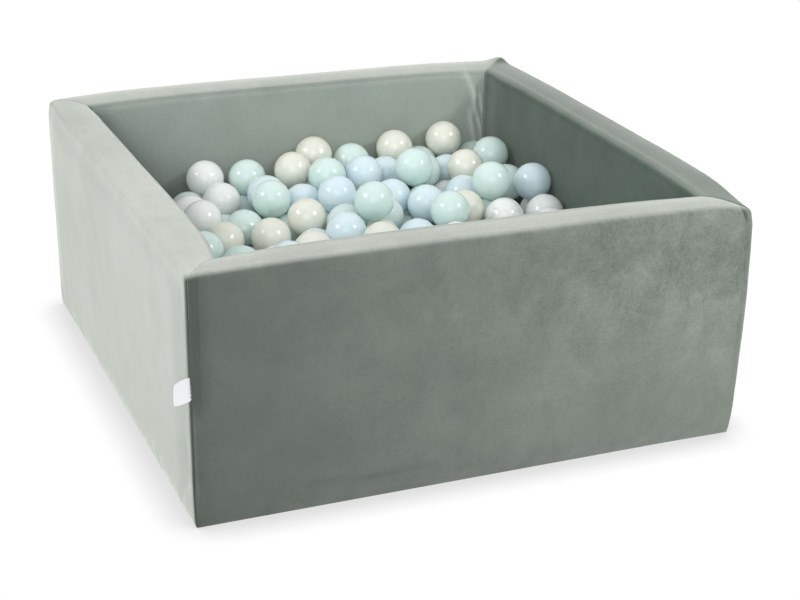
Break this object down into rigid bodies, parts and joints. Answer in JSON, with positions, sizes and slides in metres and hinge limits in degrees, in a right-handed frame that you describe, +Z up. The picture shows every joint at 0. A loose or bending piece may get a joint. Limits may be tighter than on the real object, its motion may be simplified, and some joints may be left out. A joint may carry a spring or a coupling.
{
  "type": "ball pit",
  "caption": "Square soft play ball pit: four foam walls in grey-green velvet covers, a padded floor mat and a fill of pale mint, blue, white and pearl plastic balls.",
  "frame": {"origin": "middle of the pit's underside, where the floor mat's flat underside meets the floor", "axes": "+X to the right along the front wall, +Y from the front wall to the back wall, +Z up"},
  "size_m": [0.9388, 0.9171, 0.402],
  "materials": {
    "velvet": "short cut pile velvet, grey green, soft sheen",
    "foam": "open cell upholstery foam, cream",
    "zip_tape": "woven tape with a fine moulded coil",
    "zip_metal": "plain bright metal",
    "satin": "white satin ribbon, blank",
    "ball_white": "glossy white",
    "ball_mint": "glossy pale mint",
    "ball_blue": "glossy baby blue",
    "ball_pearl": "satin pearl"
  },
  "bodies": {
    "walls": {"front_cover": "velvet", "right_cover": "velvet", "back_cover": "velvet", "left_cover": "velvet", "front_foam_board": "foam", "right_foam_board": "foam", "back_foam_board": "foam", "left_foam_board": "foam", "zip_tape_outer": "zip_tape", "zip_tape_inner": "zip_tape"},
    "zip_slider": {"zip_slider": "zip_metal"},
    "zip_pull": {"zip_pull": "zip_metal"},
    "label": {"label_loop": "satin"},
    "floor_mat": {"mat_cover": "velvet", "mat_foam": "foam"},
    "buried_balls": {"ball_bed": "ball_mint"},
    "ball_white_01": {"ball_white_01": "ball_white"},
    "ball_white_02": {"ball_white_02": "ball_white"},
    "ball_white_03": {"ball_white_03": "ball_white"},
    "ball_white_04": {"ball_white_04": "ball_white"},
    "ball_mint_01": {"ball_mint_01": "ball_mint"},
    "ball_mint_02": {"ball_mint_02": "ball_mint"},
    "ball_blue_01": {"ball_blue_01": "ball_blue"},
    "ball_mint_03": {"ball_mint_03": "ball_mint"},
    "ball_pearl_01": {"ball_pearl_01": "ball_pearl"},
    "ball_mint_04": {"ball_mint_04": "ball_mint"},
    "ball_pearl_02": {"ball_pearl_02": "ball_pearl"},
    "ball_pearl_03": {"ball_pearl_03": "ball_pearl"},
    "ball_pearl_04": {"ball_pearl_04": "ball_pearl"},
    "ball_mint_05": {"ball_mint_05": "ball_mint"},
    "ball_mint_06": {"ball_mint_06": "ball_mint"},
    "ball_blue_02": {"ball_blue_02": "ball_blue"},
    "ball_blue_03": {"ball_blue_03": "ball_blue"},
    "ball_blue_04": {"ball_blue_04": "ball_blue"},
    "ball_pearl_05": {"ball_pearl_05": "ball_pearl"},
    "ball_blue_05": {"ball_blue_05": "ball_blue"},
    "ball_mint_07": {"ball_mint_07": "ball_mint"},
    "ball_mint_08": {"ball_mint_08": "ball_mint"},
    "ball_pearl_06": {"ball_pearl_06": "ball_pearl"},
    "ball_pearl_07": {"ball_pearl_07": "ball_pearl"},
    "ball_blue_06": {"ball_blue_06": "ball_blue"},
    "ball_blue_07": {"ball_blue_07": "ball_blue"},
    "ball_pearl_08": {"ball_pearl_08": "ball_pearl"},
    "ball_pearl_09": {"ball_pearl_09": "ball_pearl"},
    "ball_mint_09": {"ball_mint_09": "ball_mint"},
    "ball_mint_10": {"ball_mint_10": "ball_mint"},
    "ball_mint_11": {"ball_mint_11": "ball_mint"},
    "ball_mint_12": {"ball_mint_12": "ball_mint"},
    "ball_pearl_10": {"ball_pearl_10": "ball_pearl"},
    "ball_blue_08": {"ball_blue_08": "ball_blue"},
    "ball_mint_13": {"ball_mint_13": "ball_mint"},
    "ball_blue_09": {"ball_blue_09": "ball_blue"},
    "ball_blue_10": {"ball_blue_10": "ball_blue"},
    "ball_mint_14": {"ball_mint_14": "ball_mint"},
    "ball_pearl_11": {"ball_pearl_11": "ball_pearl"},
    "ball_white_05": {"ball_white_05": "ball_white"},
    "ball_blue_11": {"ball_blue_11": "ball_blue"},
    "ball_blue_12": {"ball_blue_12": "ball_blue"},
    "ball_white_06": {"ball_white_06": "ball_white"},
    "ball_mint_15": {"ball_mint_15": "ball_mint"}
  },
  "joints": [
    {"name": "mat_lift", "type": "slide", "parent": "walls", "child": "floor_mat", "axis": [0, 0, 1], "range_m": [0, 0.45]},
    {"name": "buried_balls_lift", "type": "slide", "parent": "floor_mat", "child": "buried_balls", "axis": [0, 0, 1], "range_m": [0, 0.45]},
    {"name": "zip_slide", "type": "slide", "parent": "walls", "child": "zip_slider", "axis": [-1, 0, 0], "range_m": [0, 0.6]},
    {"name": "pull_swing", "type": "hinge", "parent": "zip_slider", "child": "zip_pull", "pos_m": [0.2992, 0.42025, 0.0015], "axis": [0, -1, 0], "range_deg": [0, 100]},
    {"name": "label_swing", "type": "hinge", "parent": "walls", "child": "label", "pos_m": [-0.45186, -0.45186, 0.22425], "axis": [0, 0, 1], "range_deg": [-60, 120]},
    {"name": "ball_white_01_lift", "type": "slide", "parent": "buried_balls", "child": "ball_white_01", "axis": [0, 0, 1], "range_m": [0, 0.3]},
    {"name": "ball_white_02_lift", "type": "slide", "parent": "buried_balls", "child": "ball_white_02", "axis": [0, 0, 1], "range_m": [0, 0.3]},
    {"name": "ball_white_03_lift", "type": "slide", "parent": "buried_balls", "child": "ball_white_03", "axis": [0, 0, 1], "range_m": [0, 0.3]},
    {"name": "ball_white_04_lift", "type": "slide", "parent": "buried_balls", "child": "ball_white_04", "axis": [0, 0, 1], "range_m": [0, 0.3]},
    {"name": "ball_mint_01_lift", "type": "slide", "parent": "buried_balls", "child": "ball_mint_01", "axis": [0, 0, 1], "range_m": [0, 0.3]},
    {"name": "ball_mint_02_lift", "type": "slide", "parent": "buried_balls", "child": "ball_mint_02", "axis": [0, 0, 1], "range_m": [0, 0.3]},
    {"name": "ball_blue_01_lift", "type": "slide", "parent": "buried_balls", "child": "ball_blue_01", "axis": [0, 0, 1], "range_m": [0, 0.3]},
    {"name": "ball_mint_03_lift", "type": "slide", "parent": "buried_balls", "child": "ball_mint_03", "axis": [0, 0, 1], "range_m": [0, 0.3]},
    {"name": "ball_pearl_01_lift", "type": "slide", "parent": "buried_balls", "child": "ball_pearl_01", "axis": [0, 0, 1], "range_m": [0, 0.3]},
    {"name": "ball_mint_04_lift", "type": "slide", "parent": "buried_balls", "child": "ball_mint_04", "axis": [0, 0, 1], "range_m": [0, 0.3]},
    {"name": "ball_pearl_02_lift", "type": "slide", "parent": "buried_balls", "child": "ball_pearl_02", "axis": [0, 0, 1], "range_m": [0, 0.3]},
    {"name": "ball_pearl_03_lift", "type": "slide", "parent": "buried_balls", "child": "ball_pearl_03", "axis": [0, 0, 1], "range_m": [0, 0.3]},
    {"name": "ball_pearl_04_lift", "type": "slide", "parent": "buried_balls", "child": "ball_pearl_04", "axis": [0, 0, 1], "range_m": [0, 0.3]},
    {"name": "ball_mint_05_lift", "type": "slide", "parent": "buried_balls", "child": "ball_mint_05", "axis": [0, 0, 1], "range_m": [0, 0.3]},
    {"name": "ball_mint_06_lift", "type": "slide", "parent": "buried_balls", "child": "ball_mint_06", "axis": [0, 0, 1], "range_m": [0, 0.3]},
    {"name": "ball_blue_02_lift", "type": "slide", "parent": "buried_balls", "child": "ball_blue_02", "axis": [0, 0, 1], "range_m": [0, 0.3]},
    {"name": "ball_blue_03_lift", "type": "slide", "parent": "buried_balls", "child": "ball_blue_03", "axis": [0, 0, 1], "range_m": [0, 0.3]},
    {"name": "ball_blue_04_lift", "type": "slide", "parent": "buried_balls", "child": "ball_blue_04", "axis": [0, 0, 1], "range_m": [0, 0.3]},
    {"name": "ball_pearl_05_lift", "type": "slide", "parent": "buried_balls", "child": "ball_pearl_05", "axis": [0, 0, 1], "range_m": [0, 0.3]},
    {"name": "ball_blue_05_lift", "type": "slide", "parent": "buried_balls", "child": "ball_blue_05", "axis": [0, 0, 1], "range_m": [0, 0.3]},
    {"name": "ball_mint_07_lift", "type": "slide", "parent": "buried_balls", "child": "ball_mint_07", "axis": [0, 0, 1], "range_m": [0, 0.3]},
    {"name": "ball_mint_08_lift", "type": "slide", "parent": "buried_balls", "child": "ball_mint_08", "axis": [0, 0, 1], "range_m": [0, 0.3]},
    {"name": "ball_pearl_06_lift", "type": "slide", "parent": "buried_balls", "child": "ball_pearl_06", "axis": [0, 0, 1], "range_m": [0, 0.3]},
    {"name": "ball_pearl_07_lift", "type": "slide", "parent": "buried_balls", "child": "ball_pearl_07", "axis": [0, 0, 1], "range_m": [0, 0.3]},
    {"name": "ball_blue_06_lift", "type": "slide", "parent": "buried_balls", "child": "ball_blue_06", "axis": [0, 0, 1], "range_m": [0, 0.3]},
    {"name": "ball_blue_07_lift", "type": "slide", "parent": "buried_balls", "child": "ball_blue_07", "axis": [0, 0, 1], "range_m": [0, 0.3]},
    {"name": "ball_pearl_08_lift", "type": "slide", "parent": "buried_balls", "child": "ball_pearl_08", "axis": [0, 0, 1], "range_m": [0, 0.3]},
    {"name": "ball_pearl_09_lift", "type": "slide", "parent": "buried_balls", "child": "ball_pearl_09", "axis": [0, 0, 1], "range_m": [0, 0.3]},
    {"name": "ball_mint_09_lift", "type": "slide", "parent": "buried_balls", "child": "ball_mint_09", "axis": [0, 0, 1], "range_m": [0, 0.3]},
    {"name": "ball_mint_10_lift", "type": "slide", "parent": "buried_balls", "child": "ball_mint_10", "axis": [0, 0, 1], "range_m": [0, 0.3]},
    {"name": "ball_mint_11_lift", "type": "slide", "parent": "buried_balls", "child": "ball_mint_11", "axis": [0, 0, 1], "range_m": [0, 0.3]},
    {"name": "ball_mint_12_lift", "type": "slide", "parent": "buried_balls", "child": "ball_mint_12", "axis": [0, 0, 1], "range_m": [0, 0.3]},
    {"name": "ball_pearl_10_lift", "type": "slide", "parent": "buried_balls", "child": "ball_pearl_10", "axis": [0, 0, 1], "range_m": [0, 0.3]},
    {"name": "ball_blue_08_lift", "type": "slide", "parent": "buried_balls", "child": "ball_blue_08", "axis": [0, 0, 1], "range_m": [0, 0.3]},
    {"name": "ball_mint_13_lift", "type": "slide", "parent": "buried_balls", "child": "ball_mint_13", "axis": [0, 0, 1], "range_m": [0, 0.3]},
    {"name": "ball_blue_09_lift", "type": "slide", "parent": "buried_balls", "child": "ball_blue_09", "axis": [0, 0, 1], "range_m": [0, 0.3]},
    {"name": "ball_blue_10_lift", "type": "slide", "parent": "buried_balls", "child": "ball_blue_10", "axis": [0, 0, 1], "range_m": [0, 0.3]},
    {"name": "ball_mint_14_lift", "type": "slide", "parent": "buried_balls", "child": "ball_mint_14", "axis": [0, 0, 1], "range_m": [0, 0.3]},
    {"name": "ball_pearl_11_lift", "type": "slide", "parent": "buried_balls", "child": "ball_pearl_11", "axis": [0, 0, 1], "range_m": [0, 0.3]},
    {"name": "ball_white_05_lift", "type": "slide", "parent": "buried_balls", "child": "ball_white_05", "axis": [0, 0, 1], "range_m": [0, 0.3]},
    {"name": "ball_blue_11_lift", "type": "slide", "parent": "buried_balls", "child": "ball_blue_11", "axis": [0, 0, 1], "range_m": [0, 0.3]},
    {"name": "ball_blue_12_lift", "type": "slide", "parent": "buried_balls", "child": "ball_blue_12", "axis": [0, 0, 1], "range_m": [0, 0.3]},
    {"name": "ball_white_06_lift", "type": "slide", "parent": "buried_balls", "child": "ball_white_06", "axis": [0, 0, 1], "range_m": [0, 0.3]},
    {"name": "ball_mint_15_lift", "type": "slide", "parent": "buried_balls", "child": "ball_mint_15", "axis": [0, 0, 1], "range_m": [0, 0.3]}
  ]
}
